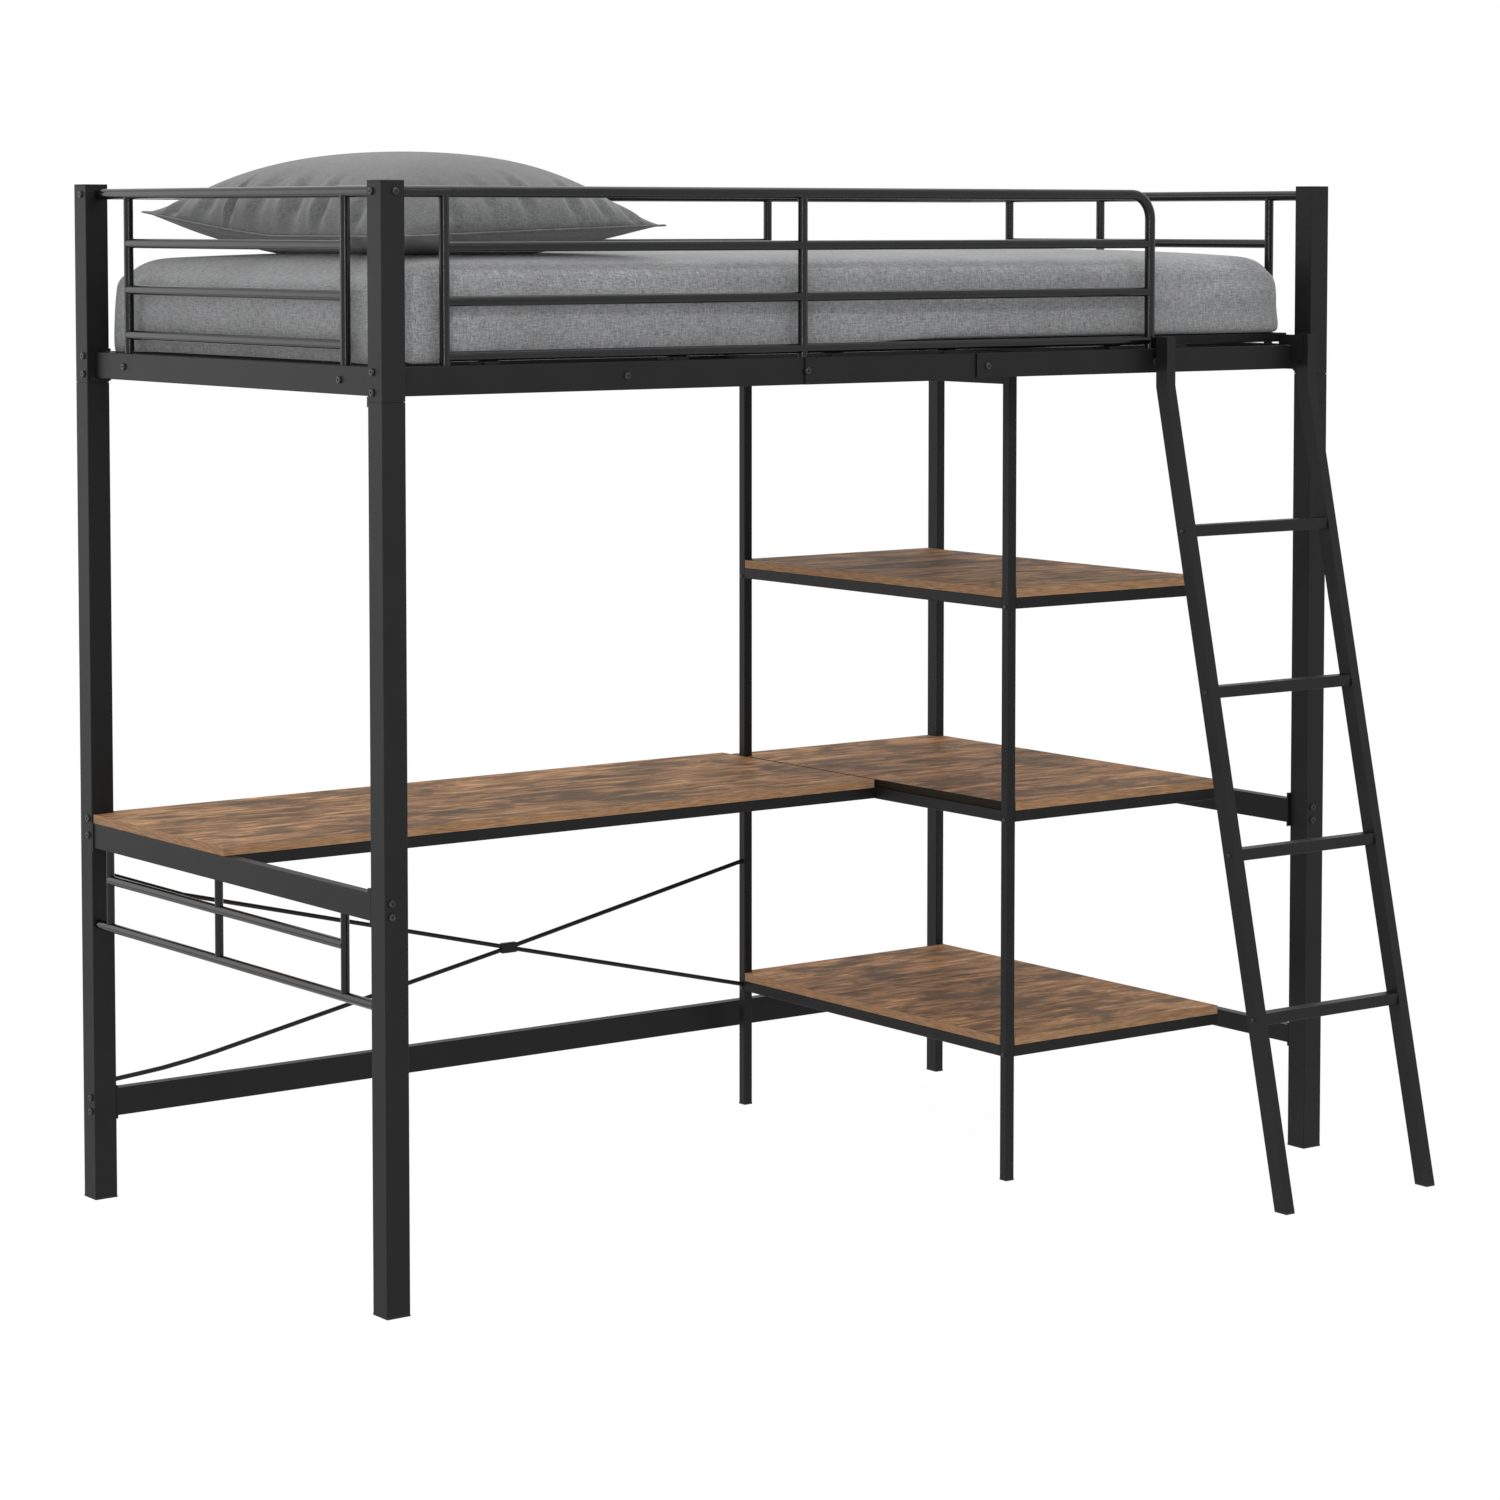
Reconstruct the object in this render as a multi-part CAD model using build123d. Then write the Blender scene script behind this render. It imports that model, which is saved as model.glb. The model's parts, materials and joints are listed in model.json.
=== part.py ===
from build123d import *
import math
import os

# Loft bed with a corner desk and shelves, in millimetres.
# All shapes are drawn from the front left floor corner of the posts: X runs from the head end to the
# foot end, Y from the ladder side to the wall side, Z up. They are written out about the middle of the
# whole object's footprint, at floor level.

# Overall size of the post frame
LENGTH = 1992
WIDTH = 1002
HEIGHT = 1750
POST = 42
WALL = 1.5
POST_CAP = 2.5
FOOT_CAP = 3
SEAM_Z = 1412
SEAM_GAP = 0.8

# Bed rails
RAIL_LOW = 1420
RAIL_TOP = 1465
SIDE_FACE = 18
SIDE_BACK = 38
RIGHT_FACE = 12
RIGHT_LOW = 1423
RAIL_SPLIT = 1181
SPLICE_START = 819
SPLICE = 3
END_FACE = 14
END_DEEP = 22
BRACKET = 3
LUG_END = 51
LUG_DROP = 16

# Round guard tubes
TOP_TUBE = 18
BAR = 16
BAR_WALL = 1.2
TOP_Z = 1733
GUARD_Y = 28
GUARD_XS = (130, 823, 1586)
GUARD_BAR_ZS = (1648, 1564, 1479)
GUARD_BEND = 42
INTO_RAIL = 30
END_LINE = 25
HEAD_UPRIGHT_YS = (148, 854)
HEAD_SLAT_ZS = (1650, 1572, 1496)
FOOT_UPRIGHT_YS = (127, 590, 859)
BACK_UPRIGHT_XS = (531, 1461)
SECOND_Z = 1646

# Mattress base
DECK_TOP = 1486
DECK_TUBE = 16
DECK_SIDE = 58
DECK_HEAD = 58
DECK_FOOT = 1946
DECK_SPLIT = 1000.5
SLAT_WIDE = 40
SLAT_THICK = 12
SLATS_EACH = 7
LUG_THICK = 5
LUG_WIDE = 30
LEFT_LUG_XS = (200, 560, 880)
RIGHT_LUG_XS = (1120, 1490, 1640)
BEARER_LOW = 1424
BEARER_TOP = 1462

# Desk, shelves and their frame
DESK_TOP = 671
BOARD = 15
FRAME_TALL = 20
SHELF_TOPS = {"top": 1046, "middle": DESK_TOP, "bottom": 255}
DESK_LEFT = 2
DESK_FRONT = 505
DESK_BACK = 976
DESK_RAIL_TALL = 43
DESK_RAIL_DEEP = 20
BACK_RAIL_Y = 962
BACK_RAIL_DEEP = 22
LOWER_RAIL_LOW = 142
LOWER_RAIL_TOP = 190
SLIM = 18
SHELF_X = 1352
SHELF_Y = 130
SHELF_RIGHT = 1856
TOP_SHELF_RIGHT = 1812
SHELF_BACK = 922
RETURN_BACK = 950
LEG_DEEP = 30
BOARD_GAP = 2
BOARD_JOINT = 4
RIGHT_RAIL_X = 1954
RIGHT_RAIL_DEEP = 22
RIGHT_RAIL_BACK = 952
RIGHT_LOWER_TALL = 32
TIE_LOW = 1404
TIE_TOP = 1420
SHELF_BEARER_Y = 511

# Panel under the left end of the desk
INFILL_X = 12
INFILL_ZS = (562, 480)
INFILL_UPRIGHT_YS = (139, 539, 917)
INFILL_UPRIGHT = 14

# Cross brace at the back of the desk: its rods' ends and bends in X and Z, and the middle of its hub
ROD = 8
BRACE_HUB = (835, 935, 355)
BRACE_HUB_SIZE = (34, 12, 19)
BRACE_FROM_Y = 970
HIGH_ROD_END = 561
HIGH_ROD_BENDS = [(178, 514)]
LOW_ROD_END = 204.5
LOW_ROD_BENDS = [(90, 209), (134, 213.5), (188, 221.5), (235, 230)]
POST_ROD_ENDS = (232, 470)

# Ladder
LADDER_XS = (1577, 1916)
LADDER_WIDE = 20
LADDER_DEEP = 28
LADDER_FACE = -28
LADDER_TOP = 1486
LADDER_BEND = 1402
LADDER_LEAN = 12.6
LADDER_PAD = 4
RUNG_ZS = (322, 598, 874, 1150)
RUNG_TALL = 20
RUNG_DEEP = 24
HOOK = 3
HOOK_FRONT = -16
HOOK_LOW = 1438
HOOK_TIP = 1446
HOOK_GAP = 0.4

# Fasteners
BOLT = 6
BOLT_HEAD = 12
HEAD_TALL = 3.5
NUT = 10
NUT_TALL = 5
SCREW = 4
SCREW_HEAD = 8
SCREW_HEAD_TALL = 2

# Bedding
MATTRESS = (1906, 912, 144.5)
MATTRESS_X = 40
MATTRESS_Y = 45
MATTRESS_LIFT = 0.5
MATTRESS_ROUND = 38
PILLOW = (500, 810, 176)
PILLOW_CENTRE = (345, 515)
PILLOW_ROUND = 70

LOW_CORNER = (Align.MIN, Align.MIN, Align.MIN)
LEAN = math.radians(LADDER_LEAN)
LEG_X = SHELF_RIGHT - SLIM
POST_CORNERS = {
    "front_left": (0, 0),
    "back_left": (0, WIDTH - POST),
    "front_right": (LENGTH - POST, 0),
}

parts = {}


def block(low, high):
    """Box between two opposite corners."""
    size = [b - a for a, b in zip(low, high)]
    return Pos(*low) * Box(*size, align=LOW_CORNER)


def core(low, high, axis, wall, past=0):
    """Hollow inside a rectangular tube along axis 0, 1 or 2, run past its ends by past."""
    low = [a - past if i == axis else a + wall for i, a in enumerate(low)]
    high = [b + past if i == axis else b - wall for i, b in enumerate(high)]
    return block(low, high)


def tube(low, high, axis, wall=WALL):
    """Rectangular tube between two corners, open at both ends along the axis."""
    edges_along = (Axis.X, Axis.Y, Axis.Z)[axis]
    outside = block(low, high)
    outside = fillet(outside.edges().filter_by(edges_along), wall)
    return outside - core(low, high, axis, wall, past=1)


def rod(start, end, size):
    """Solid round bar between two points."""
    start, end = Vector(*start), Vector(*end)
    run = end - start
    plane = Plane(origin=start, z_dir=run)
    return plane * Cylinder(size / 2, run.length, align=(Align.CENTER, Align.CENTER, Align.MIN))


def pipe(start, end, size, joins=()):
    """Round tube between two points, its ends shaped to fit against the joined solids."""
    made = rod(start, end, size)
    for other in joins:
        made -= other
    start, end = Vector(*start), Vector(*end)
    past = (end - start).normalized()
    return made - rod(start - past, end + past, size - 2 * BAR_WALL)


def solids(*shapes):
    """One node that holds several separate solids."""
    return Compound(children=[s for shape in shapes for s in shape.solids()])


def back_face(shape):
    """The same shape at the other side of the bed."""
    return mirror(shape, about=Plane.XZ.offset(-WIDTH / 2))


def drilled(shape):
    """The shape with a hole for each bolt that passes through it."""
    box = shape.bounding_box()
    for hole in bolt_holes:
        other = hole.bounding_box()
        apart = [
            box.min.X > other.max.X or other.min.X > box.max.X,
            box.min.Y > other.max.Y or other.min.Y > box.max.Y,
            box.min.Z > other.max.Z or other.min.Z > box.max.Z,
        ]
        if not any(apart):
            shape = shape - hole
    return shape


# ---- fasteners -----------------------------------------------------------------------------------------


def bolt_plan():
    """Each frame bolt: its head's seat, its direction, its length and its nut's place along it, if any."""
    mid_y = (SIDE_FACE + SIDE_BACK) / 2
    back_y = WIDTH - mid_y
    left_zs = (RAIL_LOW + 7, RAIL_TOP - 7)
    far_zs = (RAIL_LOW + 10, RAIL_TOP - 10)
    desk_zs = (DESK_TOP - BOARD - 32, DESK_TOP - BOARD - 11)
    right_zs = (603, 626)
    low_zs = (LOWER_RAIL_LOW + 11, LOWER_RAIL_TOP - 13)
    rail_y = BACK_RAIL_Y + BACK_RAIL_DEEP / 2
    nut_at = POST + BRACKET
    plan = [
        ((0, GUARD_Y, TOP_Z), (1, 0, 0), nut_at, None),
        ((0, WIDTH - END_LINE, TOP_Z), (1, 0, 0), nut_at, None),
        ((END_LINE, 0, TOP_Z), (0, 1, 0), nut_at, None),
        ((END_LINE, WIDTH, TOP_Z), (0, -1, 0), nut_at, None),
    ]
    for left_z, far_z in zip(left_zs, far_zs):
        plan.append(((0, mid_y, left_z), (1, 0, 0), nut_at + 8, nut_at))
        plan.append(((0, back_y, left_z), (1, 0, 0), nut_at + 8, nut_at))
        plan.append(((LENGTH, mid_y, far_z), (-1, 0, 0), nut_at + 8, nut_at))
    for z in desk_zs:
        plan.append(((DESK_LEFT + DESK_RAIL_DEEP / 2, 0, z), (0, 1, 0), nut_at + 8, nut_at))
        plan.append(((DESK_LEFT + DESK_RAIL_DEEP / 2, WIDTH, z), (0, -1, 0), nut_at + 8, nut_at))
    plan.append(((0, rail_y, DESK_TOP - BOARD - 22), (1, 0, 0), nut_at + 8, nut_at))
    plan.append(((0, rail_y, DESK_TOP - 8), (1, 0, 0), POST, None))
    for z in low_zs:
        plan.append(((0, rail_y, z), (1, 0, 0), nut_at + 8, nut_at))
    for z in right_zs:
        plan.append(((RIGHT_RAIL_X + RIGHT_RAIL_DEEP / 2, 0, z), (0, 1, 0), nut_at + 8, nut_at))
    mid_z = (RAIL_LOW + RAIL_TOP) / 2
    both_sides = [(465, SIDE_FACE), (GUARD_XS[1], SIDE_FACE - SPLICE), (1205, RIGHT_FACE)]
    for x, face in both_sides + [(GUARD_XS[2], RIGHT_FACE)]:
        plan.append(((x, face, mid_z), (0, 1, 0), SIDE_BACK - face + 5, SIDE_BACK - face))
    for x, face in both_sides:
        plan.append(((x, WIDTH - face, mid_z), (0, -1, 0), SIDE_BACK - face + 5, SIDE_BACK - face))
    for y in HEAD_UPRIGHT_YS:
        plan.append(((END_FACE, y, mid_z), (1, 0, 0), END_DEEP + 5, END_DEEP))
    for y in FOOT_UPRIGHT_YS:
        plan.append(((LENGTH - END_FACE, y, mid_z), (-1, 0, 0), END_DEEP + 5, END_DEEP))
    return plan


def button_bolt(seat, direction, length, nut_at):
    """Button head bolt with its head outside the seat, and a nut along its shank."""
    seat, inward = Vector(*seat), Vector(*direction)
    outward = Plane(origin=seat, z_dir=-inward)
    upright = (Align.CENTER, Align.CENTER, Align.MIN)
    head = Cylinder(BOLT_HEAD / 2, HEAD_TALL, align=upright)
    head = fillet(head.edges().sort_by(Axis.Z)[-1], HEAD_TALL * 0.6)
    socket = Pos(0, 0, HEAD_TALL - 1.5) * extrude(RegularPolygon(2.2, 6), 2)
    made = [outward * (head - socket) + rod(seat, seat + inward * length, BOLT)]
    if nut_at is not None:
        place = Plane(origin=seat + inward * nut_at, z_dir=inward)
        nut = extrude(RegularPolygon(NUT / 2, 6), NUT_TALL) - Cylinder(BOLT / 2, 3 * NUT_TALL)
        made.append(place * nut)
    return made


def frame_bolts():
    """All bolts and nuts of the steel frame."""
    return [piece for row in bolt_plan() for piece in button_bolt(*row)]


def small_screw(seat, direction, length):
    """Domed screw with its head outside the seat."""
    seat, inward = Vector(*seat), Vector(*direction)
    head = Cylinder(SCREW_HEAD / 2, SCREW_HEAD_TALL, align=(Align.CENTER, Align.CENTER, Align.MIN))
    head = fillet(head.edges().sort_by(Axis.Z)[-1], SCREW_HEAD_TALL * 0.6)
    return Plane(origin=seat, z_dir=-inward) * head + rod(seat, seat + inward * length, SCREW)


bolt_holes = [
    rod(seat, Vector(*seat) + Vector(*direction) * length, BOLT)
    for seat, direction, length, _ in bolt_plan()
]


# ---- posts ---------------------------------------------------------------------------------------------


def add_posts():
    """Two-part corner posts with their hidden sleeves, top caps and foot caps."""
    caps, feet, sleeves = [], [], []
    for corner, (x, y) in POST_CORNERS.items():
        low, high = (x, y, FOOT_CAP), (x + POST, y + POST, SEAM_Z)
        parts[f"{corner}_leg"] = drilled(tube(low, high, 2))
        low, high = (x, y, SEAM_Z + SEAM_GAP), (x + POST, y + POST, HEIGHT - POST_CAP)
        parts[f"{corner}_post"] = drilled(tube(low, high, 2))
        low, high = (x + WALL, y + WALL, SEAM_Z - 60), (x + POST - WALL, y + POST - WALL, SEAM_Z + 60)
        sleeves.append(drilled(tube(low, high, 2, 2)))
        top = fillet(block((x, y, HEIGHT - POST_CAP), (x + POST, y + POST, HEIGHT)).edges(), 1)
        caps.append(top)
        inner = WALL + 0.3
        plug = block((x + inner, y + inner, FOOT_CAP - 1), (x + POST - inner, y + POST - inner, 16))
        feet.append(block((x, y, 0), (x + POST, y + POST, FOOT_CAP)) + plug)
    parts["post_top_caps"] = solids(*caps)
    return sleeves, feet


def back_right_leg():
    """Slim leg under the back right of the deck, with two blocks that meet the back rails."""
    low, high = (LEG_X, SHELF_BACK, FOOT_CAP), (SHELF_RIGHT, SHELF_BACK + LEG_DEEP, BEARER_LOW)
    leg = tube(low, high, 2)
    for z in (LOWER_RAIL_LOW + 9, DESK_TOP - BOARD - DESK_RAIL_TALL + 7):
        leg += block((LEG_X, SHELF_BACK + LEG_DEEP, z), (SHELF_RIGHT, BACK_RAIL_Y, z + 30))
    return leg


def slim_foot(x, y, deep):
    """Plastic foot of a slim post."""
    inner = WALL + 0.3
    pad = block((x, y, 0), (x + SLIM, y + deep, FOOT_CAP))
    return pad + block((x + inner, y + inner, FOOT_CAP - 1), (x + SLIM - inner, y + deep - inner, 14))


# ---- bed rails -----------------------------------------------------------------------------------------


def guard_upright_rods(xs):
    """The outsides of the guard uprights, from the top tube down into the side rail."""
    return [rod((x, GUARD_Y, RAIL_TOP - INTO_RAIL), (x, GUARD_Y, TOP_Z), BAR) for x in xs]


def end_upright_rods(x, ys):
    """The outsides of an end's uprights, from the top rail down into the end rail."""
    return [rod((x, y, RAIL_TOP - INTO_RAIL), (x, y, TOP_Z), BAR) for y in ys]


def side_rails():
    """Left and right halves of the front side rail, each holed for the guard uprights."""
    left = tube((POST + BRACKET, SIDE_FACE, RAIL_LOW), (RAIL_SPLIT, SIDE_BACK, RAIL_TOP), 0)
    right = tube((RAIL_SPLIT, RIGHT_FACE, RIGHT_LOW), (LENGTH - POST - BRACKET, SIDE_BACK, RAIL_TOP), 0)
    return left, right


def splice_plate():
    """Flat plate over the left half of the side rail, up to the right half."""
    return block((SPLICE_START, SIDE_FACE - SPLICE, RAIL_LOW), (RAIL_SPLIT, SIDE_FACE, RAIL_TOP))


def rail_joiner():
    """Hidden tube that joins the two halves of a side rail."""
    low = (RAIL_SPLIT - 140, SIDE_FACE + WALL, RIGHT_LOW + WALL)
    return tube(low, (RAIL_SPLIT + 140, SIDE_BACK - WALL, RAIL_TOP - WALL), 0, 2)


def end_rail(x):
    """Rail across an end of the bed, from x to x plus its depth."""
    low, high = (x, POST + BRACKET, RAIL_LOW), (x + END_DEEP, WIDTH - POST - BRACKET, RAIL_TOP)
    return tube(low, high, 1)


def add_bed_rails(sleeves):
    """Side rails, end rails, splice plates and hidden joiners."""
    left, right = side_rails()
    joiner = rail_joiner()
    front_posts = guard_upright_rods(GUARD_XS[:2])
    corner_tube = rod((GUARD_XS[2], GUARD_Y, RAIL_TOP - INTO_RAIL), (GUARD_XS[2], GUARD_Y, TOP_Z), TOP_TUBE)
    back_posts = [rod((x, WIDTH - END_LINE, RAIL_TOP - INTO_RAIL), (x, WIDTH - END_LINE, TOP_Z), BAR)
                  for x in BACK_UPRIGHT_XS]
    parts["front_rail_left"] = drilled(left - front_posts)
    parts["front_rail_right"] = drilled(right - corner_tube)
    parts["back_rail_left"] = drilled(back_face(left) - back_posts)
    parts["back_rail_right"] = drilled(back_face(right) - back_posts)
    plates = [drilled(splice_plate()), drilled(back_face(splice_plate()))]
    parts["rail_splice_plates"] = solids(*plates)
    joiners = [drilled(joiner), drilled(back_face(joiner))]
    parts["inner_joiners"] = solids(*sleeves, *joiners)
    head = end_rail(END_FACE) - end_upright_rods(END_LINE, HEAD_UPRIGHT_YS)
    parts["head_end_rail"] = drilled(head)
    foot = end_rail(LENGTH - END_FACE - END_DEEP)
    foot -= end_upright_rods(LENGTH - END_LINE, FOOT_UPRIGHT_YS)
    parts["foot_end_rail"] = drilled(foot)


def bracket_x(x, y_low, y_high, z_low, z_high):
    """End plate of a rail that runs along X, a little larger than the rail."""
    return drilled(block((x, y_low, z_low - 5), (x + BRACKET, y_high, z_high + 5)))


def bracket_y(y, x_low, x_high, z_low, z_high):
    """End plate of a rail that runs along Y, a little larger than the rail."""
    return drilled(block((x_low, y, z_low - 5), (x_high, y + BRACKET, z_high + 5)))


def rail_brackets():
    """End plates between the rails and the posts, and a corner block where the back right has no post."""
    far_x, far_y = LENGTH - POST - BRACKET, WIDTH - POST - BRACKET
    desk_low, desk_high = DESK_TOP - BOARD - DESK_RAIL_TALL, DESK_TOP - BOARD
    end_x = LENGTH - END_FACE - END_DEEP
    right_low, right_high = RIGHT_RAIL_ZS["right_desk_rail"]
    desk_end = DESK_LEFT + DESK_RAIL_DEEP + 4
    made = [
        bracket_x(POST, 10, 42, RAIL_LOW, RAIL_TOP),
        bracket_x(far_x, 6, 42, RIGHT_LOW, RAIL_TOP),
        bracket_x(POST, WIDTH - 42, WIDTH - 10, RAIL_LOW, RAIL_TOP),
        bracket_y(POST, 4, 38, RAIL_LOW, RAIL_TOP)
        + block((4, POST, RAIL_LOW - LUG_DROP), (38, LUG_END, RAIL_LOW)),
        bracket_y(far_y, 4, 38, RAIL_LOW, RAIL_TOP),
        bracket_y(POST, LENGTH - 38, LENGTH - 4, RAIL_LOW, RAIL_TOP),
        bracket_y(POST, 0, desk_end, desk_low, desk_high + 3)
        + block((0, POST, desk_high), (desk_end, LUG_END, desk_high + 8)),
        bracket_y(far_y, 0, desk_end, desk_low, desk_high - 5),
        bracket_x(POST, WIDTH - 42, WIDTH - 12, desk_low, desk_high - 5),
        bracket_x(POST, WIDTH - 42, WIDTH - 12, LOWER_RAIL_LOW, LOWER_RAIL_TOP),
        bracket_y(POST, LENGTH - POST - 6, LENGTH - 12, right_low, right_high + 8),
        bracket_y(POST, LENGTH - POST, LENGTH - 12, *RIGHT_RAIL_ZS["right_lower_rail"]),
    ]
    corner = block((far_x, WIDTH - 38, RIGHT_LOW), (end_x + END_DEEP, WIDTH - RIGHT_FACE, RAIL_TOP))
    made.append(corner - end_rail_space(end_x))
    return solids(*made)


def end_rail_space(x):
    """The outside of an end rail, as a solid."""
    return block((x, POST, RAIL_LOW - 10), (x + END_DEEP, WIDTH - POST - BRACKET, RAIL_TOP + 10))


# ---- guards --------------------------------------------------------------------------------------------


def front_guard_top_tube():
    """Top tube of the front guard, bent down at its right end into the side rail."""
    end_x = GUARD_XS[2]
    points = [(POST, GUARD_Y, TOP_Z), (end_x, GUARD_Y, TOP_Z), (end_x, GUARD_Y, RAIL_TOP - INTO_RAIL)]
    path = FilletPolyline(*points, radius=GUARD_BEND)
    ring = Circle(TOP_TUBE / 2) - Circle(TOP_TUBE / 2 - BAR_WALL)
    section = Plane(origin=points[0], z_dir=(1, 0, 0)) * ring
    return drilled(sweep(section, path=path))


def front_guard_uprights():
    """Left and middle uprights under the top tube."""
    top = rod((POST, GUARD_Y, TOP_Z), (GUARD_XS[2], GUARD_Y, TOP_Z), TOP_TUBE)
    low = RAIL_TOP - INTO_RAIL
    made = [pipe((x, GUARD_Y, low), (x, GUARD_Y, TOP_Z), BAR, [top]) for x in GUARD_XS[:2]]
    return solids(*[drilled(piece) for piece in made])


def front_guard_bars():
    """Three bars in each of the two bays between the uprights."""
    ends = guard_upright_rods(GUARD_XS[:2])
    ends.append(rod((GUARD_XS[2], GUARD_Y, RAIL_TOP), (GUARD_XS[2], GUARD_Y, TOP_Z), TOP_TUBE))
    bays = list(zip(GUARD_XS, GUARD_XS[1:]))
    return solids(*[
        pipe((a, GUARD_Y, z), (b, GUARD_Y, z), BAR, ends) for z in GUARD_BAR_ZS for a, b in bays
    ])


def end_bars(x, ys, zs):
    """Bars along Y between an end's outer uprights, cut at each upright."""
    ends = end_upright_rods(x, ys)
    return [pipe((x, a, z), (x, b, z), BAR, ends) for z in zs for a, b in zip(ys, ys[1:])]


def end_uprights(x, ys, top):
    """Round uprights under an end's top rail, reaching down into the end rail."""
    low = RAIL_TOP - INTO_RAIL
    return [drilled(pipe((x, y, low), (x, y, TOP_Z), BAR, [top])) for y in ys]


def add_guards():
    """Headboard, footboard, back guard and front guard."""
    foot_x, back_y = LENGTH - END_LINE, WIDTH - END_LINE
    head_top = ((END_LINE, POST, TOP_Z), (END_LINE, WIDTH - POST, TOP_Z))
    parts["headboard_top_rail"] = drilled(pipe(*head_top, TOP_TUBE))
    parts["headboard_uprights"] = solids(*end_uprights(END_LINE, HEAD_UPRIGHT_YS, rod(*head_top, TOP_TUBE)))
    parts["headboard_slats"] = solids(*end_bars(END_LINE, HEAD_UPRIGHT_YS, HEAD_SLAT_ZS))

    foot_end = back_y + TOP_TUBE / 2
    foot_top = ((foot_x, POST, TOP_Z), (foot_x, foot_end, TOP_Z))
    foot_solid = rod(*foot_top, TOP_TUBE)
    plug = rod((foot_x, foot_end - 2, TOP_Z), (foot_x, foot_end, TOP_Z), TOP_TUBE - BAR_WALL)
    parts["footboard_top_rail"] = drilled(pipe(*foot_top, TOP_TUBE)) + plug
    bars = end_uprights(foot_x, FOOT_UPRIGHT_YS, foot_solid) + end_bars(foot_x, FOOT_UPRIGHT_YS, (SECOND_Z,))
    parts["footboard_bars"] = solids(*bars)

    back_top = ((POST, back_y, TOP_Z), (foot_x, back_y, TOP_Z))
    parts["back_guard_top_rail"] = drilled(pipe(*back_top, TOP_TUBE, [foot_solid]))
    low = RAIL_TOP - INTO_RAIL
    ends = [rod((x, back_y, low), (x, back_y, TOP_Z), BAR) for x in BACK_UPRIGHT_XS]
    bars = [pipe((x, back_y, low), (x, back_y, TOP_Z), BAR, [rod(*back_top, TOP_TUBE)])
            for x in BACK_UPRIGHT_XS]
    start, end = BACK_UPRIGHT_XS
    bars.append(pipe((start, back_y, SECOND_Z), (end, back_y, SECOND_Z), BAR, ends))
    parts["back_guard_bars"] = solids(*bars)

    parts["front_guard_top_tube"] = front_guard_top_tube()
    parts["front_guard_uprights"] = front_guard_uprights()
    parts["front_guard_bars"] = front_guard_bars()


# ---- mattress base -------------------------------------------------------------------------------------


def deck_frame(x_low, x_high, lug_xs):
    """Half of the mattress base: four square tubes, and lugs that rest on the side rails."""
    z_low = DECK_TOP - DECK_TUBE
    y_low, y_high = DECK_SIDE, WIDTH - DECK_SIDE
    made = []
    for y in (y_low, y_high - DECK_TUBE):
        made.append(tube((x_low, y, z_low), (x_high, y + DECK_TUBE, DECK_TOP), 0))
    for x in (x_low, x_high - DECK_TUBE):
        cross = ((x, y_low + DECK_TUBE, z_low), (x + DECK_TUBE, y_high - DECK_TUBE, DECK_TOP))
        made.append(tube(*cross, 1))
    for x in lug_xs:
        lug = block((x, SIDE_FACE + 6, RAIL_TOP), (x + LUG_WIDE, DECK_SIDE + 10, RAIL_TOP + LUG_THICK))
        made += [lug, back_face(lug)]
    return solids(*made)


def deck_slats():
    """Cross slats of both halves, between the side tubes."""
    made = []
    y_low, y_high = DECK_SIDE + DECK_TUBE, WIDTH - DECK_SIDE - DECK_TUBE
    halves = ((DECK_HEAD, DECK_SPLIT - 0.5), (DECK_SPLIT + 0.5, DECK_FOOT))
    for x_low, x_high in halves:
        first, last = x_low + DECK_TUBE, x_high - DECK_TUBE
        gap = (last - first - SLATS_EACH * SLAT_WIDE) / (SLATS_EACH + 1)
        for i in range(SLATS_EACH):
            x = first + gap + i * (gap + SLAT_WIDE)
            low, high = (x, y_low, DECK_TOP - SLAT_THICK), (x + SLAT_WIDE, y_high, DECK_TOP)
            made.append(tube(low, high, 1, 1.2))
    return solids(*made)


def deck_cross_bearers():
    """Bearers between the side rails, over the shelf posts and over the back right leg."""
    y_low, y_high = SIDE_BACK, WIDTH - SIDE_BACK
    made = []
    for x in (SHELF_X, LEG_X):
        made.append(tube((x, y_low, BEARER_LOW), (x + SLIM, y_high, BEARER_TOP), 1))
    return solids(*made)


# ---- desk and shelves ----------------------------------------------------------------------------------


def frame_top(level):
    """Height of the top of a shelf's frame."""
    return SHELF_TOPS[level] - BOARD


RIGHT_RAIL_ZS = {
    "right_desk_rail": (frame_top("middle") - FRAME_TALL - DESK_RAIL_TALL, frame_top("middle") - FRAME_TALL),
    "right_lower_rail": (SHELF_TOPS["bottom"] - BOARD - FRAME_TALL - RIGHT_LOWER_TALL,
                         SHELF_TOPS["bottom"] - BOARD - FRAME_TALL),
}


def shelf_end(level):
    """Where a shelf ends towards the foot end of the bed: the top one is a little shorter."""
    return TOP_SHELF_RIGHT if level == "top" else SHELF_RIGHT


def shelf_frame(level):
    """Frame of one shelf: tubes round it, the back one out to the slim leg, and a bearer across its middle."""
    z_high = frame_top(level)
    z_low = z_high - FRAME_TALL
    post_x, post_y = SHELF_X + SLIM, SHELF_Y + SLIM
    back_y = SHELF_BACK - SLIM
    bearer_y = SHELF_BEARER_Y + SLIM
    right = shelf_end(level)
    runs = [
        ((SHELF_X, post_y, z_low), (post_x, back_y, z_high), 1),
        ((post_x, SHELF_Y, z_low), (right, post_y, z_high), 0),
        ((post_x, back_y, z_low), (SHELF_RIGHT, SHELF_BACK, z_high), 0),
        ((right - SLIM, post_y, z_low), (right, back_y, z_high), 1),
        ((post_x, SHELF_BEARER_Y, z_low), (right - SLIM, bearer_y, z_high), 0),
    ]
    return [tube(*run) for run in runs]


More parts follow.
